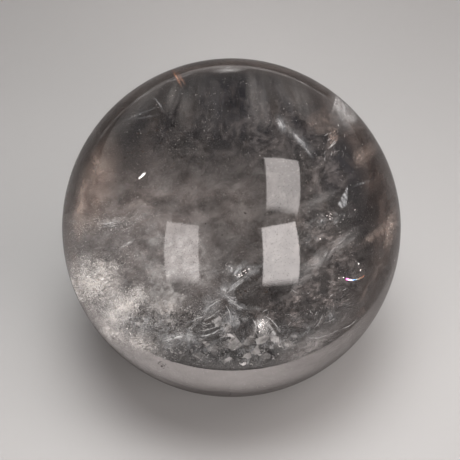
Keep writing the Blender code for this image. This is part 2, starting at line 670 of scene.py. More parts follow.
# The next three are the dark tints of sheets that paint shade into the stone
RIM_SHADE_TINTS = ((0.026, 0.020, 0.018), (0.052, 0.042, 0.038), (0.10, 0.080, 0.072))
BROWN_SHADE_TINTS = ((0.014, 0.009, 0.008), (0.034, 0.024, 0.020), (0.070, 0.050, 0.043))
PAINTED_SHADE_TINTS = ((0.010, 0.008, 0.008), (0.020, 0.020, 0.024), (0.050, 0.042, 0.038))
CRACK_TINTS = ((0.006, 0.005, 0.005), (0.012, 0.011, 0.011), (0.030, 0.026, 0.024))
# Two hubs that several patterns share, in pixels: the ball's middle, and the point that a fan spreads from
MIDDLE_HUB = (231, 228)
FAN_HUB = (238, -60)
VEILS = (
    Veil("veil_cracks", 0.05, 0.01, 3,
         Pattern(1.0, 30, 1.6, 0.05, milk=0.0, threads=1.0, shards=0.6), CRACK_TINTS, (
        (108, 296, 36, 26, 40, 0.30), (96, 268, 30, 8, 12, 0.20), (160, 325, 36, 20, 10, 0.38),
        (178, 355, 24, 9, -8, 0.60), (215, 325, 44, 22, 0, 0.50), (275, 325, 28, 20, 20, 0.50),
        (330, 310, 30, 12, 40, 0.40), (320, 222, 22, 14, 30, 0.40), (140, 130, 20, 22, 0, 0.30),
    ), step=2.0, clump=7.0),
    Veil("veil_flecks", 0.035, 0.01, 9,
         Pattern(0.8, 90, 4.0, 0.06, milk=0.6, threads=0.8, shards=0.3, hub=MIDDLE_HUB), CRACK_TINTS, (
        Arc(0.885, 2.0, -46, -20, 0.50),
        (343, 335, 14, 2.2, 32, 0.75), (328, 344, 8, 1.6, 30, 0.45),
    ), step=1.5, clump=5.0, over=0.9),
    Veil("veil_shelf", 0.055, 0.01, 13,
         Pattern(1.4, 90, 4.0, 0.16, milk=0.9, hub=MIDDLE_HUB), SHELF_TINTS, (
        Arc(0.868, 5.0, -50, -36, 0.60),
        Arc(0.905, 4.0, -46, -14, 0.68),
    ), step=2.0, over=0.7),
    Veil("veil_ledge", 0.045, 0.01, 14,
         Pattern(1.2, 28, 3.0, 0.24, milk=0.9, threads=0.1), LEDGE_TINTS, (
        (312, 346, 21, 7, 28, 0.92), (290, 357, 16, 4, 18, 0.30),
    ), step=2.0, over=1.0),
    Veil("veil_film", 0.05, 0.01, 16,
         Pattern(1.0, 90, 4.0, 0.13, milk=0.8, threads=0.1, shards=0.1, hub=MIDDLE_HUB), SHELF_TINTS, (
        Arc(0.925, 16.0, -150, -38, 0.12),
    ), step=2.0, over=1.0),
    # Painted light: a pale sheet along the bottom rim that lifts its dark edge to about the crescent's
    # brightness
    Veil("veil_lip", 0.03, 0.0, 17, Pattern(1.2, 90, 5.0, 0.30, hub=MIDDLE_HUB), LEDGE_TINTS, (
        Arc(1.0, 9.0, -128, -50, 0.74),
    ), step=1.2, over=1.0),
    # Painted shade: dark arcs that darken the right of the crescent and the lower right rim
    Veil("veil_dusk", 0.06, 0.02, 15,
         Pattern(1.6, 90, 6.0, 0.20, milk=0.7, hub=MIDDLE_HUB), BROWN_SHADE_TINTS, (
        Arc(0.93, 20.0, -74, -12, 0.50),
        Arc(0.98, 11.0, -56, -2, 0.70),
        Arc(0.96, 10.0, -34, -8, 0.62),
    ), over=1.0),
    Veil("veil_front", 0.09, 0.03, 5,
         Pattern(0.5, 16, 1.5, 0.10, milk=0.9, threads=0.06, shards=0.4), CREAM_TINTS, (
        (81, 284, 22, 13, 70, 1.0), (100, 286, 16, 12, 30, 0.50), (84, 268, 22, 8, 0, 0.50),
        (128, 306, 16, 9, 45, 0.72), (112, 324, 18, 7, 40, 0.50), (128, 340, 22, 8, -15, 0.38),
        (150, 352, 14, 6, -25, 0.20), (172, 308, 20, 10, 20, 0.30), (108, 222, 13, 2.6, 14, 0.20),
        (70, 222, 16, 3, 5, 0.14), (106, 250, 28, 3, 14, 0.07),
    ), step=2.0, clump=18.0),
    Veil("veil_cloud", 0.23, 0.04, 23,
         Pattern(1.5, 25, 1.3, 0.13, threads=0.08, shards=0.3), MILK_TINTS, (
        (148, 306, 40, 26, 12, 0.60), (148, 266, 18, 26, 60, 0.56), (170, 334, 30, 12, -15, 0.34),
        (185, 262, 26, 34, 0, 0.34), (190, 290, 34, 14, 10, 0.22), (140, 216, 9, 4, 50, 0.20),
        (109, 222, 12, 4, 14, 0.30), (156, 246, 9, 22, 10, 0.34), (366, 182, 10, 3.5, 10, 0.20),
    ), clump=20.0),
    Veil("veil_frost", 0.265, 0.02, 39,
         Pattern(1.4, 20, 1.8, 0.26, shards=0.15, wave=8.0), FROST_TINTS, (
        (136, 288, 58, 42, 10, 0.80), (168, 322, 40, 20, 0, 0.74), (110, 328, 36, 14, -40, 0.50),
        (104, 240, 44, 18, 8, 0.52), (184, 287, 26, 9, 0, 0.46), (154, 260, 8, 30, 0, 0.56),
        (246, 294, 16, 8, 20, 0.20),
    )),
    Veil("veil_mist", 0.30, 0.06, 37, Pattern(4.0, 12, 1.8, 0.26, rough=0.56), MAUVE_TINTS, (
        (102, 205, 50, 36, 0, 0.72), (112, 248, 50, 22, 10, 0.46), (165, 210, 44, 44, 0, 0.40),
        (225, 205, 54, 44, 0, 0.28), (190, 265, 50, 36, 0, 0.20), (172, 302, 46, 22, 8, 0.50),
        (150, 262, 34, 26, 0, 0.24),
    )),
    Veil("veil_centre", 0.46, 0.10, 41, Pattern(3.0, 50, 1.2, 0.16, rough=0.64), MILK_TINTS, (
        (196, 236, 54, 40, 25, 0.86), (246, 206, 46, 38, 0, 0.84), (172, 190, 40, 26, 0, 0.50),
        (225, 225, 100, 86, 0, 0.24), (305, 200, 24, 34, 0, 0.26),
    )),
    Veil("veil_mottle", 0.38, 0.10, 47, Pattern(2.0, 35, 1.8, 0.09, shards=0.1), MAUVE_TINTS, (
        (322, 222, 52, 70, 0, 0.28), (300, 300, 70, 34, 25, 0.42), (180, 320, 90, 30, 0, 0.34),
    ), clump=20.0),
    Veil("veil_grit", 0.16, 0.04, 49,
         Pattern(0.8, 35, 1.6, 0.07, milk=0.7, threads=0.3, shards=0.5), MAUVE_TINTS, (
        (322, 250, 40, 40, 20, 0.18), (326, 184, 22, 34, -10, 0.12), (310, 310, 56, 26, 25, 0.28),
        (190, 130, 80, 46, 0, 0.04), (280, 130, 50, 40, 0, 0.05), (150, 260, 50, 30, 0, 0.16),
    ), step=2.0, clump=9.0),
    Veil("veil_curtain", 0.34, 0.08, 51,
         Pattern(0.45, 0, 4.0, 0.18, hub=FAN_HUB, rough=0.5, wave=4.0), MAUVE_TINTS, (
        (175, 128, 74, 46, 20, 0.14), (275, 125, 60, 46, -10, 0.14), (110, 140, 36, 44, -30, 0.34),
        (345, 160, 36, 50, 20, 0.06),
    )),
    Veil("veil_rays", 0.17, 0.02, 57,
         Pattern(0.26, 0, 6.0, 0.14, hub=FAN_HUB, rough=0.55, wave=4.0), CREAM_TINTS, (
        (194, 92, 34, 22, 10, 0.026), (256, 92, 9, 30, 0, 0.055), (176, 96, 9, 24, 10, 0.06),
        (300, 95, 40, 18, -35, 0.045), (140, 92, 34, 12, 40, 0.10), (118, 122, 20, 12, 50, 0.12),
        (232, 124, 50, 18, 0, 0.02),
    )),
    Veil("veil_bands", 0.17, 0.03, 63, Pattern(1.1, 38, 6.0, 0.12, threads=0.1), MILK_TINTS, (
        (324, 256, 30, 6, 38, 0.26), (338, 246, 12, 4, 38, 0.16), (303, 281, 22, 5, 38, 0.12),
        (316, 202, 18, 5, 32, 0.10), (262, 281, 18, 4, 38, 0.08),
    ), step=2.0),
    Veil("veil_ice", 0.15, 0.03, 69,
         Pattern(2.0, 35, 1.2, 0.06, milk=0.3, threads=0.4, shards=1.0), ICE_TINTS, (
        (238, 348, 38, 12, 4, 0.34), (222, 322, 18, 10, 20, 0.34), (280, 346, 20, 8, 15, 0.34),
        (175, 345, 26, 10, 0, 0.22),
    ), step=1.5, clump=6.0),
    Veil("veil_splinters", 0.15, 0.03, 70,
         Pattern(1.3, 60, 1.8, 0.05, milk=0.2, threads=0.5, shards=0.9), ICE_TINTS, (
        (232, 335, 26, 18, 0, 0.50), (190, 335, 30, 14, 10, 0.40), (285, 335, 22, 12, 10, 0.34),
        (330, 322, 26, 9, 30, 0.34), (150, 325, 26, 12, 10, 0.40), (316, 240, 10, 6, 30, 0.20),
        (330, 219, 16, 5, 15, 0.34), (236, 271, 18, 6, 10, 0.34), (225, 293, 10, 8, 0, 0.44),
        (245, 361, 48, 6, 0, 0.28),
    ), step=1.5, clump=7.0),
    Veil("veil_squiggles", 0.10, 0.02, 72,
         Pattern(0.55, 60, 1.2, 0.06, milk=0.35, threads=0.7, shards=0.2), PEACH_TINTS, (
        (334, 137, 4.5, 12, -8, 0.32), (323, 122, 14, 10, 20, 0.12), (357, 126, 5, 14, 50, 0.34),
        (364, 155, 12, 9, 45, 0.28),
    ), step=1.5, clump=6.0),
    Veil("veil_burst", 0.13, 0.03, 73,
         Pattern(0.8, 0, 5.0, 0.11, milk=0.9, threads=0.35, shards=0.2, hub=(223, 293)), ICE_TINTS, (
        (210, 306, 14, 8, 50, 0.14), (237, 283, 18, 3.5, 36, 0.46), (235, 304, 14, 3.5, -42, 0.50),
        (252, 308, 13, 2.5, -5, 0.30), (231, 319, 8, 9, 0, 0.42),
    ), step=1.5, clump=9.0),
    Veil("veil_arcs", 0.12, 0.02, 77,
         Pattern(0.70, 90, 9.0, 0.09, milk=0.6, threads=0.8, hub=(214, 298)), ICE_TINTS, (
        (208, 330, 20, 7, 25, 0.08), (180, 338, 14, 5, 0, 0.30),
    ), step=1.5, clump=6.0),
    Veil("veil_feather", 0.10, 0.02, 79,
         Pattern(0.60, -52, 2.4, 0.11, threads=0.4, shards=0.5), MILK_TINTS, (
        (261, 327, 5.0, 7.5, -30, 0.98), (269, 331, 10, 5, -52, 0.44),
    ), step=1.5),
    Veil("veil_fibres", 0.14, 0.02, 81,
         Pattern(0.70, 90, 8.0, 0.08, milk=0.4, threads=1.0, hub=MIDDLE_HUB), MILK_TINTS, (
        (345, 322, 24, 6, 45, 0.24), (320, 335, 16, 4, 20, 0.46), (368, 290, 22, 3.5, 58, 0.28),
        (326, 318, 16, 8, 45, 0.26),
    ), step=1.5, clump=7.0),
    # Painted shade: dark patches that darken the right side, the lower middle and the band above the
    # crescent
    Veil("veil_smoke", 0.23, 0.02, 83, Pattern(1.8, 60, 1.5, 0.12), PAINTED_SHADE_TINTS, (
        (332, 166, 24, 22, 0, 0.55), (282, 292, 30, 8, 10, 0.42), (248, 302, 18, 10, 20, 0.20),
        (203, 320, 14, 10, 35, 0.72), (342, 306, 30, 12, 25, 0.74), (352, 262, 26, 20, 30, 0.62),
        (250, 350, 80, 11, 0, 0.82), (292, 325, 30, 16, 0, 0.66), (255, 131, 30, 10, -10, 0.30),
    ), clump=18.0),
    # Painted shade: dark patches in rays that darken the upper half of the stone
    Veil("veil_shade", 0.22, 0.02, 84,
         Pattern(0.6, 0, 4.0, 0.24, hub=FAN_HUB, rough=0.55, wave=5.0), PAINTED_SHADE_TINTS, (
        (224, 94, 16, 17, 0, 0.66), (187, 108, 13, 22, 12, 0.42), (266, 130, 24, 18, 0, 0.50),
        (298, 126, 20, 14, -40, 0.50), (205, 128, 34, 20, 0, 0.26), (152, 136, 24, 22, 30, 0.60),
    )),
    # Painted shade: a dark sheet that darkens the top, the right side and the band above the crescent
    Veil("veil_gloom", 0.21, 0.03, 89,
         Pattern(0.8, 0, 4.0, 0.30, hub=FAN_HUB, rough=0.5, wave=5.0), PAINTED_SHADE_TINTS, (
        (220, 98, 90, 34, 0, 0.78), (225, 116, 90, 44, 0, 0.30), (286, 112, 56, 36, -20, 0.36),
        (364, 182, 26, 66, 15, 0.66), (346, 160, 14, 20, 0, 0.66), (338, 184, 12, 10, 0, 0.50),
        (240, 358, 76, 9, 0, 0.24), (300, 310, 70, 30, 25, 0.34), (110, 140, 26, 40, -30, 0.22),
    )),
    # Painted shade: a dark arc inside the right rim and dark patches at the right and upper left
    Veil("veil_brown", 0.06, 0.02, 97, Pattern(2.4, 80, 1.6, 0.24), BROWN_SHADE_TINTS, (
        Arc(0.945, 15.0, -58, 56, 0.84),
        (374, 196, 40, 14, 90, 0.20), (126, 160, 22, 14, 60, 0.12), (370, 285, 36, 12, 60, 0.24),
    )),
    # Painted shade: dark arcs that darken the rim along the top, the left and the right
    Veil("veil_ring", 0.05, 0.01, 99,
         Pattern(0.9, 90, 5.0, 0.18, milk=0.9, hub=MIDDLE_HUB), RIM_SHADE_TINTS, (
        Arc(0.970, 7.0, 35, 205, 0.88),
        Arc(0.975, 5.0, -30, 35, 0.50),
    ), step=2.0),
    # Painted reflection in the two arcs, thin light lines that the rim mirrors near the top and upper left;
    # the two patches are white streaks in the stone
    Veil("veil_rim_lines", 0.03, 0.0, 100,
         Pattern(0.6, 90, 7.0, 0.22, milk=0.7, threads=0.3, hub=MIDDLE_HUB), MILK_TINTS, (
        Arc(0.952, 0.9, 52, 118, 0.14),
        Arc(0.938, 1.0, 105, 150, 0.16),
        (228, 70, 12, 2.0, 4, 0.22), (335.0, 103, 8.0, 0.8, 76, 0.50),
    ), step=0.8),
    Veil("veil_lines", 0.16, 0.02, 104, Pattern(0.5, -50, 3.0, 0.16, threads=0.2), ICE_TINTS, (
        (142, 113, 15, 1.0, 22, 0.26), (146, 117, 12, 0.9, 10, 0.20), (159, 104, 7, 0.9, -56, 0.34),
        (281, 124, 4.5, 2.2, -62, 0.50), (299, 140, 7, 1.6, -48, 0.32), (307, 150, 8, 1.0, -56, 0.34),
        (302, 141, 15, 4.0, -47, 0.10), (283, 125, 9, 5.0, -60, 0.14), (366, 182, 9, 1.2, 18, 0.40),
        Corner(((349.5, 180.0), (336.0, 205.0), (342.0, 210.0), (348.0, 206.0)), 2.5, 0.42),
    ), step=1.0),
    # Painted reflection in the arc and the first patch, a warm glow inside the left rim; the other patches
    # are peach tints in the stone
    Veil("veil_peach", 0.11, 0.02, 101, Pattern(3.0, 80, 1.4, 0.30, milk=0.9, rough=0.6), PEACH_TINTS, (
        Arc(0.910, 4.5, 149, 181, 0.40),
        (97, 178, 34, 14, 80, 0.36), (322, 122, 16, 12, 20, 0.06), (363, 154, 12, 6, 50, 0.20),
    )),
    Veil("veil_tan", 0.04, 0.01, 105,
         Pattern(0.6, 60, 1.6, 0.12, milk=0.9, threads=0.2, shards=0.2), PEACH_TINTS, (
        (391, 228, 15, 4.5, 80, 0.22), (376, 234, 18, 4, 38, 0.11), (369, 285, 22, 1.8, 62, 0.10),
        (372, 312, 14, 1.3, 58, 0.12), (384, 262, 18, 5, 75, 0.02), (368, 152, 13, 7, 40, 0.05),
    ), step=1.2),
    Veil("veil_orange", 0.04, 0.0, 102, Pattern(0.5, -62, 6.0, 0.20), ORANGE_TINTS, (
        (176.5, 77, 7.5, 1.1, -62, 0.42), (181, 78, 6.5, 0.9, -58, 0.32),
    ), step=0.8),
    Veil("veil_wedge", 0.03, 0.0, 113, Pattern(1.2, -50, 3.0, 0.60, milk=0.6, rough=0.6), MILK_TINTS, (
        Corner(((336.5, 92.0), (332.5, 108.0), (340.0, 122.0), (352.0, 128.0), (362.0, 120.0),
                (357.0, 108.0), (347.0, 97.0)), 7.0, 0.30),
        Corner(((337.5, 95.0), (333.0, 107.0), (338.0, 114.0), (347.0, 113.0), (344.5, 102.0)), 3.0, 0.46),
        (340, 103, 7, 4.5, -56, 0.40), (344, 112, 14, 9, -52, 0.20), (343, 121, 10, 9, -60, 0.08),
    ), step=1.0),
)
VEIL_EDGE_PX = 0.6
VEIL_MARGIN = 0.15 * MM
VEIL_DEPTHS = (0.02, 0.98)
SWAY_CELL_PX = 70.0
HUB_RADIUS_PX = 20.0
HUB_LEAST_PX = 2.0
WAVE_CELL_PX = 20.0
# How far apart the veils lie in the noise, so that each has its own
SWAY_GAP, WAVE_GAP, FLOW_GAP = 1000.0, 500.0, 10.0
LEAST_COVER = 0.012
# The columns where the bright crescent begins to thin a veil
CRESCENT_PX = (110, 170)
# What a broken veil keeps between its lumps, and the levels of noise from bare to full
CLUMP_LEAST = 0.15
CLUMP_LEVELS = (0.40, 0.60)


def patch_cover(patch, px, py):
    """The strength in the middle of a patch, along an arc or inside corners, fading to 0 around it."""
    if isinstance(patch, Corner):
        inside = np.ones_like(px)
        ends = patch.points[1:] + patch.points[:1]
        for (x1, y1), (x2, y2) in zip(patch.points, ends):
            away = ((px - x1) * (y1 - y2) + (py - y1) * (x2 - x1)) / math.hypot(x2 - x1, y2 - y1)
            inside *= smooth_step(-away, 0.0, patch.soft)
        return patch.strength * inside
    if isinstance(patch, Arc):
        off = (away_px(px, py) - patch.radius * BALL_RADIUS_PX) / patch.width
        half = math.radians(patch.high - patch.low) / 2
        turn = np.arctan2(BALL_PX[1] - py, px - BALL_PX[0]) - math.radians(patch.low) - half
        turn = (turn + math.pi) % (2 * math.pi) - math.pi
        return patch.strength * np.exp(-(off**2) - (turn / half) ** 4)
    x, y, length, width, angle, strength = patch
    along, across = turned(px - x, y - py, angle)
    return strength * np.exp(-((along / length) ** 2 + (across / width) ** 2))


# How fine the warp of the shards is, which cells of the mosaic are filled, and how they shade outwards
SHARD_WARP, SHARD_FILL, SHARD_SHADE = 0.6, (0.62, 0.80), (0.9, 0.1, 0.35)


def link_shards(tree, place, cell):
    """Broken flakes with sharp sides: each cell of a warped mosaic is clear, milky or white."""
    warp = add_node(tree, "TexNoise", place, Scale=SHARD_WARP / cell, Detail=3.0).outputs["Color"]
    centred = add_node(tree, "VectorMath", warp, (0.5, 0.5, 0.5), operation="SUBTRACT").outputs[0]
    sizes = (cell, cell, cell)
    warped = add_node(tree, "VectorMath", centred, sizes, place, operation="MULTIPLY_ADD").outputs[0]
    mosaic = add_node(tree, "TexVoronoi", warped, Scale=1.0 / cell, Detail=1.0, Roughness=0.6)
    split = add_node(tree, "SeparateColor", mosaic.outputs["Color"])
    filled = link_range(tree, split.outputs["Red"], *SHARD_FILL)
    shade = link_range(tree, mosaic.outputs["Distance"], *SHARD_SHADE)
    return link_math(tree, "MULTIPLY", filled, shade)


MILK_NOISE = dict(Detail=9.0, Distortion=0.2)
THREAD_NOISE = dict(Detail=4.0, Roughness=0.6, Distortion=1.2)
SHADE_NOISE = dict(Detail=8.0, Roughness=0.72, noise_dimensions="4D")
# Sizes of the threads' loops and of the lumps of shade in cells, and the width of a thread in the noise
THREAD_CELLS, SHADE_CELLS, THREAD_WIDTH = 2.2, 0.9, 0.022
MOST_MILK, MOST_THREADS, MOST_SHARDS = 2.0, 4.0, 2.0
TINT_STOPS = (0.38, 0.50, 0.62)
VEIL_ROUGHNESS = 0.6


def veil_material(veil):
    """Milk in soft lumps, thin threads and sharp flakes, drawn out by the flow and scaled by the cover."""
    material = new_material(veil.name, Roughness=VEIL_ROUGHNESS)
    tree = material.node_tree
    pattern = veil.pattern
    flow = add_node(tree, "Attribute", attribute_name="flow").outputs["Vector"]
    milk = link_noise(tree, flow, pattern.cell, Roughness=pattern.rough, **MILK_NOISE)
    low, high = 0.5 - pattern.contrast, 0.5 + pattern.contrast
    total = link_range(tree, milk, low, high, 0.0, MOST_MILK * pattern.milk)
    if pattern.threads:
        contour = link_noise(tree, flow, pattern.cell * THREAD_CELLS, **THREAD_NOISE)
        contour = link_math(tree, "ABSOLUTE", link_math(tree, "SUBTRACT", contour, 0.5), 0.0)
        threads = link_range(tree, contour, THREAD_WIDTH, 0.0, 0.0, MOST_THREADS * pattern.threads)
        total = link_math(tree, "ADD", total, threads)
    if pattern.shards:
        shards = link_shards(tree, flow, pattern.cell)
        shards = link_math(tree, "MULTIPLY", shards, MOST_SHARDS * pattern.shards)
        total = link_math(tree, "ADD", total, shards)
    cover = add_node(tree, "Attribute", attribute_name="cover").outputs["Fac"]
    alpha = link_math(tree, "MULTIPLY", total, cover, clamp=True)
    shade = link_noise(tree, flow, pattern.cell * SHADE_CELLS, W=veil.seed, **SHADE_NOISE)
    tint = link_ramp(tree, shade, tuple(zip(TINT_STOPS, veil.tints)))
    set_shader(material, Base_Color=tint, Alpha=alpha)
    return material


def layer_of(px, py, height):
    """The pixels as points at one height of the noise, so that each veil has noise of its own."""
    return np.stack([px, py, np.full_like(px, height)], axis=1)


def flow_places(veil, px, py):
    """Places in mm along and across the way that the veil's pattern runs at each pixel."""
    pattern = veil.pattern
    flat = layer_of(px, py, veil.seed * WAVE_GAP)
    px = px + pattern.wave * (layered_noise(flat, WAVE_CELL_PX, veil.seed + 7, 2) - 0.5)
    py = py + pattern.wave * (layered_noise(flat, WAVE_CELL_PX, veil.seed + 9, 2) - 0.5)
    if pattern.hub is None:
        right, up = px - BALL_PX[0], BALL_PX[1] - py
    else:
        out, rise = px - pattern.hub[0], pattern.hub[1] - py
        right = HUB_RADIUS_PX * np.log(np.maximum(np.hypot(out, rise), HUB_LEAST_PX) / HUB_RADIUS_PX)
        up = HUB_RADIUS_PX * np.arctan2(-out, rise)
    along, across = turned(right, up, pattern.angle)
    return layer_of(along / pattern.stretch, across, veil.seed * FLOW_GAP) * PX_MM


def sheet_pixels(step):
    """A square grid of pixels over the ball, pulled in to its edge, and which of them are on the ball."""
    reach = BALL_RADIUS_PX - VEIL_EDGE_PX
    line = np.linspace(-reach, reach, int(2 * reach / step))
    px, py = (grid.ravel() for grid in np.meshgrid(BALL_PX[0] + line, BALL_PX[1] + line))
    away = away_px(px, py)
    pulled_in = np.minimum(1.0, reach / np.maximum(away, 1.0))
    px = BALL_PX[0] + (px - BALL_PX[0]) * pulled_in
    py = BALL_PX[1] + (py - BALL_PX[1]) * pulled_in
    return px, py, away <= reach + step


def sheet_mesh(name, points, used):
    """A mesh of the grid's squares whose corners are all used, and the numbers of their points."""
    steps = math.isqrt(len(points))
    index = np.arange(steps * steps).reshape(steps, steps)
    corners = (index[:-1, :-1], index[1:, :-1], index[1:, 1:], index[:-1, 1:])
    quads = np.stack(corners, axis=-1).reshape(-1, 4)
    kept, quads = np.unique(quads[used[quads].all(axis=1)], return_inverse=True)
    mesh = bpy.data.meshes.new(name)
    mesh.from_pydata(points[kept].tolist(), [], quads.reshape(-1, 4).tolist())
    mesh.shade_smooth()
    return mesh, kept


def veil_cover(veil, px, py, flat):
    """How thickly a veil covers each pixel, from 0 to 1: less on the crescent, and broken into lumps."""
    bare = np.ones_like(px)
    for patch in veil.patches:
        bare *= 1 - patch_cover(patch, px, py)
    cover = 1 - bare
    cover *= 1 - (1 - veil.over) * backdrop_share(px, py) * smooth_step(px, *CRESCENT_PX)
    if veil.clump:
        lumps = smooth_step(layered_noise(flat, veil.clump, veil.seed + 5, 3), *CLUMP_LEVELS)
        cover *= CLUMP_LEAST + (1 - CLUMP_LEAST) * lumps
    return cover


def make_veil(veil):
    """A sheet that spans the part of the ball where its patches lie, waving to and fro in depth."""
    px, py, on_ball = sheet_pixels(veil.step)
    flat = layer_of(px, py, veil.seed * SWAY_GAP)
    depth = veil.depth + veil.sway * (2 * layered_noise(flat, SWAY_CELL_PX, veil.seed, 2) - 1)
    points = seen_at(px, py, np.clip(depth, *VEIL_DEPTHS))
    cover = veil_cover(veil, px, py, flat)
    used = on_ball & (cover > LEAST_COVER) & keep_inside(points, VEIL_MARGIN)
    mesh, kept = sheet_mesh(veil.name, points, used)
    add_attribute(mesh, "cover", cover[kept])
    add_attribute(mesh, "flow", flow_places(veil, px, py)[kept])
    add_inclusion(veil.name, mesh, veil_material(veil))


# Wisps: thin curved threads in bundles

Wisp = namedtuple("Wisp", "start middle end width copies spread depth")
#   three places on its curve and its width in pixels, and how many copies of it lie how far apart
WHITE_WISPS = (
    Wisp((190, 323), (196, 319), (203, 317), 0.6, 2, 1.0, 0.08),
    Wisp((203, 320), (212, 316), (221, 308), 0.5, 2, 0.5, 0.08),
    Wisp((200, 326), (212, 322), (223, 315), 0.5, 2, 0.5, 0.08),
    Wisp((200, 331), (213, 328), (225, 320), 0.5, 2, 0.6, 0.08),
    Wisp((197, 336), (212, 334), (226, 325), 0.8, 3, 0.8, 0.08),
    Wisp((205, 314), (214, 306), (224, 298), 0.35, 3, 3.4, 0.10),
    Wisp((198, 308), (210, 303), (222, 296), 0.35, 3, 3.4, 0.10),
    Wisp((226, 297), (234, 303), (244, 314), 0.4, 4, 3.0, 0.10),
    Wisp((226, 300), (231, 312), (233, 326), 0.4, 4, 4.6, 0.10),
    Wisp((224, 292), (236, 284), (250, 273), 0.4, 4, 3.0, 0.12),
    Wisp((163, 342), (176, 336), (190, 336), 0.8, 4, 3.0, 0.10),
    Wisp((263, 316), (274, 322), (282, 336), 0.4, 3, 1.2, 0.07),
    Wisp((262, 320), (270, 326), (276, 336), 0.4, 3, 1.4, 0.07),
    Wisp((264, 324), (268, 330), (270, 337), 0.4, 3, 3.0, 0.07),
    Wisp((256, 318), (260, 325), (262, 334), 0.5, 4, 4.0, 0.07),
    Wisp((260, 316), (264, 311), (269, 309), 0.4, 3, 2.0, 0.07),
    Wisp((306, 338), (325, 337), (341, 329), 0.8, 4, 1.2, 0.08),
    Wisp((341, 329), (350, 325), (358, 317), 0.7, 3, 1.4, 0.08),
    Wisp((312, 330), (320, 322), (323, 313), 0.6, 2, 1.0, 0.10),
    Wisp((319, 323), (330, 320), (336, 312), 0.6, 2, 1.0, 0.10),
    Wisp((352, 312), (364, 297), (374, 279), 0.3, 2, 1.0, 0.10),
    Wisp((99, 226), (110, 223), (122, 220), 0.5, 4, 2.6, 0.16),
    Wisp((115, 250), (125, 245), (135, 239), 0.4, 2, 1.6, 0.16),
    Wisp((218, 71), (228, 68), (240, 70), 0.4, 4, 2.0, 0.06),
    Wisp((328, 150), (333, 143), (337, 139), 0.5, 4, 3.0, 0.16),
)
DARK_WISPS = (
    Wisp((202, 323), (212, 318.5), (222, 312), 1.6, 2, 0.6, 0.09),
    Wisp((200, 328.5), (212, 325), (224, 319), 1.6, 2, 0.6, 0.09),
    Wisp((199, 333.5), (212, 331), (225, 324), 1.6, 2, 0.6, 0.09),
    Wisp((196, 341), (212, 339), (224, 333), 2.0, 3, 1.5, 0.09),
    Wisp((186, 329), (192, 324), (201, 321), 1.4, 3, 1.5, 0.09),
    Wisp((256, 323), (258, 329), (257, 334), 2.4, 3, 0.8, 0.05),
    Wisp((268, 322), (277, 330), (280, 343), 1.2, 3, 2.0, 0.08),
    Wisp((240, 345), (247, 349), (252, 347), 2.0, 3, 1.6, 0.08),
    Wisp((316, 343), (328, 341), (338, 336), 2.0, 4, 1.6, 0.05),
    Wisp((326, 339), (337, 334), (348, 326), 1.4, 3, 1.4, 0.05),
    Wisp((298, 352), (308, 348), (318, 345), 1.2, 3, 1.6, 0.05),
    Wisp((150, 326), (160, 331), (168, 329), 1.2, 4, 4.0, 0.06),
    Wisp((128, 318), (133, 326), (131, 334), 1.2, 3, 4.0, 0.06),
    Wisp((158, 366), (161, 363), (166, 366), 1.4, 3, 1.6, 0.04),
    Wisp((109, 336), (113, 338), (118, 337), 1.4, 3, 1.2, 0.04),
    Wisp((325, 212), (329, 217), (334, 218), 0.9, 3, 2.4, 0.12),
    Wisp((322, 226), (328, 222), (331, 226), 0.9, 2, 2.4, 0.12),
)
WISP_STEPS = 12
# How much a wisp may be cut at its ends, and how its depth and side vary at random
WISP_CUT = 0.35
DEPTH_SLOPE, DEPTH_SHIFT, LEAST_DEPTH = 0.04, 0.02, 0.03
SIDE_LEAN = 0.5
TAPER = 0.6
LEAST_HALF = 0.01 * MM


def wisp_paths(wisp, rng):
    """The pixel paths of one bundle, each shifted, bent and shortened a little at random."""
    share = np.linspace(0, 1, WISP_STEPS)[:, None]
    start, middle, end = (np.array(point, float) for point in (wisp.start, wisp.middle, wisp.end))
    bend = 2 * middle - (start + end) / 2
    for _ in range(wisp.copies):
        shift, lean = rng.normal(scale=wisp.spread / 2, size=(2, 2))
        first, last = np.sort(rng.uniform(0, 1, size=2)) * WISP_CUT + np.array([0.0, 1 - WISP_CUT])
        part = first + (last - first) * share
        curve = (1 - part) ** 2 * start + 2 * part * (1 - part) * (bend + lean) + part**2 * end
        yield curve + shift + lean * (part - 0.5)


def ribbon(path, width, depth, rng):
    """The corners of a ribbon of quads along a pixel path, thin at both ends and twisted at random."""
    slope = np.linspace(0, 1, len(path)) * rng.normal(scale=DEPTH_SLOPE)
    depths = depth + slope + rng.normal(scale=DEPTH_SHIFT)
    middle = seen_at(path[:, 0], path[:, 1], np.maximum(depths, LEAST_DEPTH))
    along = np.gradient(middle, axis=0)
    along /= np.linalg.norm(along, axis=1, keepdims=True)
    side = np.cross(along, np.array(TO_CAMERA) + rng.normal(scale=SIDE_LEAN, size=3))
    side /= np.linalg.norm(side, axis=1, keepdims=True)
    share = np.linspace(0, 1, len(path))[:, None]
    half = 0.5 * width * PX_MM * MM * np.sin(np.pi * share) ** TAPER + LEAST_HALF
    low, high = middle - side * half, middle + side * half
    return np.stack([low[:-1], low[1:], high[1:], high[:-1]], axis=1).reshape(-1, 3)


ThreadField = namedtuple("ThreadField", "centre spread count length angle swing width depth")
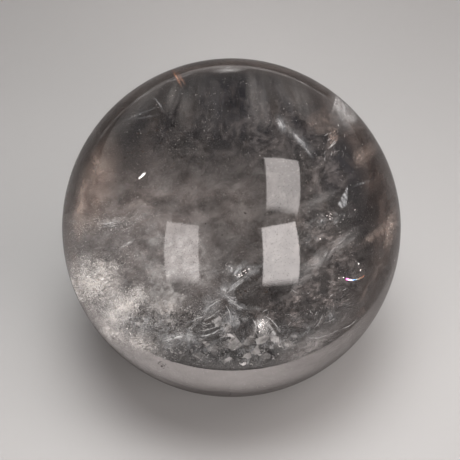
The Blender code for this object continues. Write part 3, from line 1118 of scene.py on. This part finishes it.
#   spread to the right and down, least and most length and the width in pixels, swing: the turn of the flow
THREAD_FIELDS = (
    ThreadField((240, 322), (34, 18), 70, (3, 9), 35, 100, 0.4, (0.12, 0.24)),
    ThreadField((326, 316), (20, 9), 36, (4, 10), 35, 60, 0.35, (0.10, 0.20)),
    ThreadField((338, 300), (22, 14), 40, (2, 7), 38, 60, 0.35, (0.10, 0.20)),
    ThreadField((175, 330), (34, 14), 60, (3, 9), 20, 70, 0.5, (0.15, 0.30)),
    ThreadField((110, 300), (28, 22), 40, (2, 6), 25, 50, 0.5, (0.05, 0.15)),
    ThreadField((335, 142), (7, 10), 24, (2, 6), 60, 60, 0.6, (0.10, 0.20)),
)
THREAD_EDGE_PX, THREAD_END_PX = 6, 3
THREAD_BACKDROP = 0.4
FLOW_CELL_PX, FLOW_HEIGHT, FLOW_SWING = 26.0, 7.0, 1.6
THREAD_LEAN, THREAD_BOW, THREAD_WIDTHS = 9, 0.25, 0.4


def field_threads(field, rng):
    """Short threads scattered round a place; those near each other run the same way."""
    for _ in range(field.count):
        middle = np.array(field.centre) + rng.normal(size=2) * field.spread
        if not in_plain_view(*middle, THREAD_EDGE_PX, THREAD_BACKDROP):
            continue
        flow = layered_noise(np.array([[*middle, FLOW_HEIGHT]]), FLOW_CELL_PX, field.count, 2)[0]
        angle = field.angle + field.swing * (2 * flow - 1) * FLOW_SWING
        turn = math.radians(angle + rng.normal(scale=THREAD_LEAN))
        half = rng.uniform(*field.length) / 2 * np.array([math.cos(turn), -math.sin(turn)])
        bow = np.array([-half[1], half[0]]) * rng.normal(scale=THREAD_BOW)
        share = np.linspace(-1, 1, WISP_STEPS // 2)[:, None]
        path = middle + half * share + bow * (1 - share**2)
        if away_px(*path.T).max() < BALL_RADIUS_PX - THREAD_END_PX:
            width = field.width * rng.lognormal(0.0, THREAD_WIDTHS)
            yield ribbon(path, width, rng.uniform(*field.depth), rng)


WISP_NOISE = dict(Scale=1100.0, Detail=2.0)
# The levels of that noise where a wisp is clearest and most solid, and how solid it is there
WISP_ALPHA = (0.35, 0.65, 0.1, 0.85)
WISP_WIDTHS = (0.6, 1.4)


def wisp_material(name, light, dark):
    """Fibres that are thin enough to see through here and there."""
    material = grain_material(name, light, dark)
    tree = material.node_tree
    place = add_node(tree, "TexCoord").outputs["Object"]
    noise = add_node(tree, "TexNoise", place, **WISP_NOISE).outputs["Fac"]
    set_shader(material, Alpha=link_range(tree, noise, *WISP_ALPHA))
    return material


def wisp_corners(wisps, rng):
    return [
        ribbon(path, wisp.width * rng.uniform(*WISP_WIDTHS), wisp.depth, rng)
        for wisp in wisps
        for path in wisp_paths(wisp, rng)
    ]


def make_wisps():
    rng = np.random.default_rng(7)
    corners = wisp_corners(WHITE_WISPS, rng)
    for field in THREAD_FIELDS:
        corners.extend(field_threads(field, rng))
    white = wisp_material("white_wisps", (0.95, 0.93, 0.91), (0.65, 0.64, 0.64))
    add_polygons("white_wisps", np.concatenate(corners), 4, white)
    dark = wisp_material("dark_wisps", (0.04, 0.032, 0.028), (0.012, 0.010, 0.010))
    add_polygons("dark_wisps", np.concatenate(wisp_corners(DARK_WISPS, rng)), 4, dark)


# Plates: small angular flakes of broken crystal

PlateField = namedtuple("PlateField", "centre spread count size depth")
#   spread to the right and down, and least and most size, in pixels
PLATE_FIELDS = (
    PlateField((238, 346), (15, 8), 22, (3.0, 7.0), (0.09, 0.16)),
    PlateField((230, 324), (8, 7), 9, (3.0, 6.0), (0.09, 0.16)),
    PlateField((262, 330), (9, 7), 14, (3.0, 7.0), (0.08, 0.14)),
    PlateField((284, 347), (14, 7), 34, (2.0, 6.0), (0.08, 0.14)),
    PlateField((190, 344), (22, 7), 30, (3.0, 7.0), (0.08, 0.16)),
    PlateField((155, 320), (22, 10), 30, (3.0, 7.0), (0.08, 0.16)),
    PlateField((246, 356), (36, 7), 200, (0.8, 3.2), (0.08, 0.18)),
    PlateField((288, 344), (14, 6), 50, (0.8, 2.6), (0.06, 0.14)),
    PlateField((176, 353), (16, 7), 80, (0.8, 4.0), (0.06, 0.14)),
    PlateField((216, 303), (9, 7), 16, (1.0, 3.5), (0.08, 0.18)),
    PlateField((148, 322), (24, 11), 40, (0.8, 3.0), (0.06, 0.16)),
    PlateField((332, 219), (8, 3), 18, (0.7, 2.4), (0.10, 0.16)),
    PlateField((240, 270), (12, 4), 16, (0.7, 2.4), (0.10, 0.16)),
    PlateField((335, 140), (3, 6), 12, (0.7, 2.0), (0.10, 0.16)),
    PlateField((391, 226), (2.5, 8), 44, (0.7, 2.2), (0.03, 0.045)),
    PlateField((377, 250), (7, 14), 26, (0.6, 1.6), (0.03, 0.045)),
    PlateField((362, 155), (7, 7), 26, (0.6, 1.6), (0.03, 0.045)),
)
PLATE_SIDES = 5
Flake = namedtuple("Flake", "points depth tones")
#   five corners in pixels, and how solid the flake is at its first and at its last corner
FLAKES = (
    Flake(((236, 337), (229, 340), (228, 348), (234, 351), (243, 345)), 0.060, (0.62, 0.38)),
    Flake(((229, 339.5), (223, 342), (224.5, 347), (228, 350), (231, 346)), 0.065, (0.46, 0.24)),
    Flake(((265, 335), (255, 339), (257, 345), (265, 343), (270, 337)), 0.055, (0.80, 0.44)),
    Flake(((250, 352), (244, 354.5), (243, 357), (248, 359), (251.5, 357)), 0.060, (0.74, 0.58)),
    Flake(((257, 345), (252, 352), (255, 355), (260.5, 353), (259, 348)), 0.060, (0.72, 0.42)),
    Flake(((245, 362), (240.5, 364), (243, 366), (246, 364.5), (246.5, 363)), 0.055, (0.80, 0.66)),
    Flake(((229, 357), (222, 361), (226, 362.5), (231, 360), (233, 358)), 0.060, (0.60, 0.34)),
    Flake(((230, 333.5), (219, 335), (222, 337.5), (231, 336.5), (236, 338)), 0.055, (0.66, 0.42)),
    Flake(((278, 335), (270, 336), (271, 341), (276, 342.5), (279.5, 340)), 0.055, (0.56, 0.36)),
    Flake(((247, 337), (243, 344), (247, 347), (253, 343), (254, 338)), 0.065, (0.50, 0.30)),
    Flake(((214, 344), (207, 349), (212, 353), (218, 352), (221, 348)), 0.065, (0.36, 0.18)),
    Flake(((291, 341), (284, 343), (286, 347), (291, 347.5), (293.5, 345)), 0.055, (0.46, 0.30)),
    Flake(((200, 352), (193, 354), (196, 359), (203, 360), (206, 356)), 0.065, (0.38, 0.22)),
    Flake(((266, 352), (260, 356), (264, 360), (270, 359), (272, 355)), 0.060, (0.38, 0.20)),
    Flake(((219, 316), (213, 321), (216, 327), (221, 325), (223, 319)), 0.060, (0.60, 0.34)),
    Flake(((228, 322), (222, 325), (226, 333), (231, 332), (232, 326)), 0.065, (0.50, 0.30)),
)
FLAKE_TILT = 0.01
PLATE_TILT = 0.6
PLATE_EDGE_PX = 6
PLATE_BACKDROP = 0.3
PLATE_MARGIN = 0.1 * MM
PLATE_SHIFT = 0.5
PLATE_REACH = (0.45, 1.35)
PLATE_NARROWING = (0.25, 0.9)
# Plates over this size in pixels are clearer than the small ones
LARGE_PLATE_PX = 3
LARGE_TONES, SMALL_TONES = (0.15, 0.70), (0.3, 0.9)


def plate_corners(middle, size_px, facing, rng):
    """An uneven five-sided plate."""
    first = np.cross(facing, rng.normal(size=3))
    first /= np.linalg.norm(first)
    second = np.cross(facing, first)
    turns = np.arange(PLATE_SIDES) + rng.uniform(-PLATE_SHIFT, PLATE_SHIFT, PLATE_SIDES)
    turns = (2 * math.pi / PLATE_SIDES * turns)[:, None]
    reach = size_px * PX_MM * MM / 2 * rng.uniform(*PLATE_REACH, size=(PLATE_SIDES, 1))
    drawn = rng.uniform(*PLATE_NARROWING)
    return middle + reach * (first * np.cos(turns) + second * np.sin(turns) * drawn)


def flake_plates(rng):
    """The corners and tones of the flakes whose outlines are given."""
    for flake in FLAKES:
        px, py = np.array(flake.points, float).T
        depth = flake.depth + rng.normal(scale=FLAKE_TILT, size=PLATE_SIDES)
        yield seen_at(px, py, depth), np.linspace(*flake.tones, PLATE_SIDES)


def field_plates(field, rng):
    """The corners and tones of the plates that are scattered round a place."""
    for _ in range(field.count):
        px, py = np.array(field.centre) + rng.normal(size=2) * field.spread
        if not in_plain_view(px, py, PLATE_EDGE_PX, PLATE_BACKDROP):
            continue
        middle = seen_at(px, py, rng.uniform(*field.depth))
        facing = np.array(TO_CAMERA) + rng.normal(scale=PLATE_TILT, size=3)
        facing /= np.linalg.norm(facing)
        size = rng.uniform(*field.size)
        plate = plate_corners(middle, size, facing, rng)
        tone = rng.uniform(*(LARGE_TONES if size > LARGE_PLATE_PX else SMALL_TONES))
        if keep_inside(plate, PLATE_MARGIN).all():
            yield plate, np.full(PLATE_SIDES, tone)


def plate_material():
    """Clear to milky plates: the tone of each is its own, and its faces are a little streaked."""
    material = grain_material("crystal_plates", (0.74, 0.71, 0.69), (0.30, 0.28, 0.27), roughness=0.2)
    tone = add_node(material.node_tree, "Attribute", attribute_name="tone").outputs["Fac"]
    set_shader(material, Alpha=tone)
    return material


def make_plates():
    rng = np.random.default_rng(19)
    plates = list(flake_plates(rng))
    for field in PLATE_FIELDS:
        plates.extend(field_plates(field, rng))
    corners, tones = (np.concatenate(part) for part in zip(*plates))
    mesh = add_polygons("crystal_plates", corners, PLATE_SIDES, plate_material())
    add_attribute(mesh, "tone", tones)


# Dark specks

SpeckField = namedtuple("SpeckField", "centre spread count size depth")
#   spread in pixels to the right and down, size in mm
SPECK_FIELDS = (
    SpeckField((231, 200), (95, 80), 700, 0.22, (0.05, 0.6)),
    SpeckField((150, 135), (26, 22), 260, 0.30, (0.1, 0.4)),
    SpeckField((113, 338), (2.5, 1.5), 14, 0.35, (0.05, 0.08)),
    SpeckField((162, 367), (3.0, 1.5), 14, 0.35, (0.05, 0.08)),
    SpeckField((120, 310), (40, 24), 300, 0.22, (0.02, 0.2)),
    SpeckField((258, 300), (36, 14), 420, 0.34, (0.2, 0.5)),
)
SPECK_EDGE_PX = 4
SPECK_BACKDROP = 0.3
# Specks that are all nearer to the camera than this may lie on the crescent too
NEAR_DEPTH = 0.1


def make_specks():
    rng = np.random.default_rng(3)
    places = []
    for field in SPECK_FIELDS:
        px, py = (np.array(field.centre) + rng.normal(size=(field.count, 2)) * field.spread).T
        on_ball = away_px(px, py) < BALL_RADIUS_PX - SPECK_EDGE_PX
        on_ball &= (backdrop_share(px, py) < SPECK_BACKDROP) | (field.depth[1] < NEAR_DEPTH)
        points = seen_at(px[on_ball], py[on_ball], rng.uniform(*field.depth, size=on_ball.sum()))
        places.append((points[keep_inside(points, GRAIN_MARGIN)], field.size))
    corners = [grain_corners(points, size, rng) for points, size in places]
    material = grain_material("dark_specks", (0.10, 0.07, 0.055), (0.03, 0.025, 0.02))
    add_polygons("dark_specks", np.concatenate(corners), 3, material)


# Glints: tiny mirrors turned so that they send a softbox's light to the camera

Glint = namedtuple("Glint", "centre size angle depth lamp facets")
#   size along and across the angle in pixels, the softbox that it mirrors, and its number of facets
GLINTS = (
    Glint((142.3, 175.6), (8.8, 2.3), 42, 0.05, RIGHT_BOX, 1),
    Glint((263, 324), (6.0, 10.0), -30, 0.05, RIGHT_BOX, 24),
    Glint((261, 330), (7.0, 7.0), 20, 0.05, RIGHT_BOX, 10),
    Glint((358.6, 263.8), (1.3, 1.2), 20, 0.06, RIGHT_BOX, 1),
    Glint((360.5, 270), (1.9, 0.5), 80, 0.06, RIGHT_BOX, 1),
    Glint((343.5, 277.5), (0.9, 0.8), 0, 0.06, RIGHT_BOX, 1),
    Glint((339, 278), (0.6, 0.5), 0, 0.06, RIGHT_BOX, 1),
    Glint((229.5, 266), (8.0, 6.0), -60, 0.06, LEFT_BOX, 6),
    Glint((245, 272.5), (15.0, 6.0), 15, 0.06, LEFT_BOX, 11),
    Glint((237, 275.5), (10.0, 5.0), 20, 0.06, LEFT_BOX, 5),
    Glint((331, 217), (9.0, 5.0), -40, 0.06, RIGHT_BOX, 8),
    Glint((355, 210), (0.7, 0.6), 60, 0.06, RIGHT_BOX, 1),
    Glint((320, 239), (0.9, 0.7), 60, 0.06, RIGHT_BOX, 1),
    Glint((242, 364), (8.0, 4.0), 20, 0.06, LEFT_BOX, 5),
    Glint((130, 331), (6.0, 8.0), 20, 0.05, LEFT_BOX, 7),
)
RAINBOW = (
    Glint((347.0, 279.2), (4.2, 1.9), -14, 0.05, RIGHT_BOX, 1),
    Glint((350.0, 280.0), (4.8, 1.5), -4, 0.05, RIGHT_BOX, 1),
    Glint((353.2, 280.0), (4.8, 0.7), 6, 0.05, RIGHT_BOX, 1),
    Glint((356.4, 279.4), (4.8, 0.4), 14, 0.05, RIGHT_BOX, 1),
    Glint((359.8, 278.4), (4.8, 0.3), 22, 0.05, RIGHT_BOX, 1),
    Glint((363.0, 276.8), (4.6, 0.2), 34, 0.05, RIGHT_BOX, 1),
)
# Painted colours of the rainbow crack's mirror, from one end to the other, standing in for the light that a
# thin crack splits
RAINBOW_STOPS = (
    (0.00, (0.70, 0.08, 0.50)),
    (0.24, (0.75, 0.55, 0.80)),
    (0.44, (0.14, 0.42, 0.75)),
    (0.68, (0.60, 0.48, 0.34)),
    (1.00, (0.50, 0.16, 0.08)),
)
MIRROR_COLOUR = (0.97, 0.96, 0.95, 1.0)
MIRROR_ROUGHNESS = 0.25
GLINT_CORNERS = 5
AIMING_ROUNDS = 12
AIMING_STEP = 0.5
# Facets after the first are tilted, and each lies a little deeper; their size is a share of the glint's
FACET_TILT = 0.04
FACET_STEP = 0.002
FACET_SIZES = (0.04, 0.12)
FACET_SHIFT = 0.25
FACET_REACH = (0.85, 1.15)


def way_to_lamp(start, box):
    """The way inside the stone from a point that leads, once the surface has bent it, to a softbox."""
    lamp = np.array(way_from(*box.toward).normalized()) * SOFTBOX_DISTANCE
    start = start - np.array(BALL_CENTRE)
    way = lamp - start
    way /= np.linalg.norm(way)
    for _ in range(AIMING_ROUNDS):
        along = way @ start
        leaving = start + way * (math.sqrt(along**2 + BALL_RADIUS**2 - start @ start) - along)
        wanted = (lamp - leaving) / np.linalg.norm(lamp - leaving)
        way = way + AIMING_STEP * (wanted - refracted(way, -leaving / BALL_RADIUS, QUARTZ_IOR))
        way /= np.linalg.norm(way)
    return way


def glint_corners(glint, rng):
    """The corners of one glint's facets, which mirror a softbox to the camera."""
    inner = bent_rays(*glint.centre)[1]
    light = way_to_lamp(seen_at(*glint.centre, glint.depth), glint.lamp)
    turn = math.radians(glint.angle)
    for facet in range(glint.facets):
        facing = light - inner
        facing = facing / np.linalg.norm(facing) + rng.normal(scale=FACET_TILT, size=3) * (facet > 0)
        facing /= np.linalg.norm(facing)
        along = np.array(way_from(math.cos(turn), math.sin(turn)))
        along -= facing * (along @ facing)
        along /= np.linalg.norm(along)
        across = np.cross(facing, along)
        share = 1.0 if glint.facets == 1 else rng.uniform(*FACET_SIZES)
        shift = rng.uniform(-0.5, 0.5, size=2) * (1 - share) * (glint.facets > 1)
        middle = seen_at(*glint.centre, glint.depth + FACET_STEP * facet)
        long_half, short_half = (side * PX_MM * MM / 2 for side in glint.size)
        middle = middle + along * long_half * 2 * shift[0] + across * short_half * 2 * shift[1]
        turns = np.arange(GLINT_CORNERS) + rng.uniform(-FACET_SHIFT, FACET_SHIFT, GLINT_CORNERS)
        for corner in 2 * math.pi * turns / GLINT_CORNERS:
            reach = along * long_half * math.cos(corner) + across * short_half * math.sin(corner)
            yield middle + reach * share * rng.uniform(*FACET_REACH)


def add_mirrors(name, glints, seed):
    """One piece with the facets of these glints, its corners and its material."""
    rng = np.random.default_rng(seed)
    corners = np.array([corner for glint in glints for corner in glint_corners(glint, rng)])
    finish = dict(Metallic=1.0, Roughness=MIRROR_ROUGHNESS)
    material = new_material(name, Base_Color=MIRROR_COLOUR, **finish)
    return add_polygons(name, corners, GLINT_CORNERS, material), corners, material


def make_glints():
    add_mirrors("glint_mirrors", GLINTS, 29)


def make_rainbow():
    """A thin crack drawn as a mirror whose colours are painted on, running from one end to the other."""
    mesh, corners, material = add_mirrors("rainbow_crack", RAINBOW, 31)
    across = corners @ np.array(RIGHT)
    add_attribute(mesh, "colour_share", (across - across.min()) / (across.max() - across.min()))
    tree = material.node_tree
    share = add_node(tree, "Attribute", attribute_name="colour_share").outputs["Fac"]
    set_shader(material, Base_Color=link_ramp(tree, share, RAINBOW_STOPS))


def set_render():
    scene = bpy.context.scene
    scene.view_settings.view_transform = "Standard"
    scene.cycles.max_bounces = 24
    scene.cycles.transmission_bounces = 16
    scene.cycles.glossy_bounces = 8
    scene.cycles.diffuse_bounces = 3
    scene.cycles.transparent_max_bounces = 48
    scene.cycles.caustics_reflective = False
    scene.cycles.caustics_refractive = False


make_camera()
for softbox in SOFTBOXES:
    add_softbox(softbox)
add_overhead()
for inner in INNER_LIGHTS:
    add_inner_light(inner)
make_world()
make_floor()
make_ball()
make_clouds()
for sheet in VEILS:
    make_veil(sheet)
make_wisps()
make_plates()
make_specks()
make_glints()
make_rainbow()
set_render()
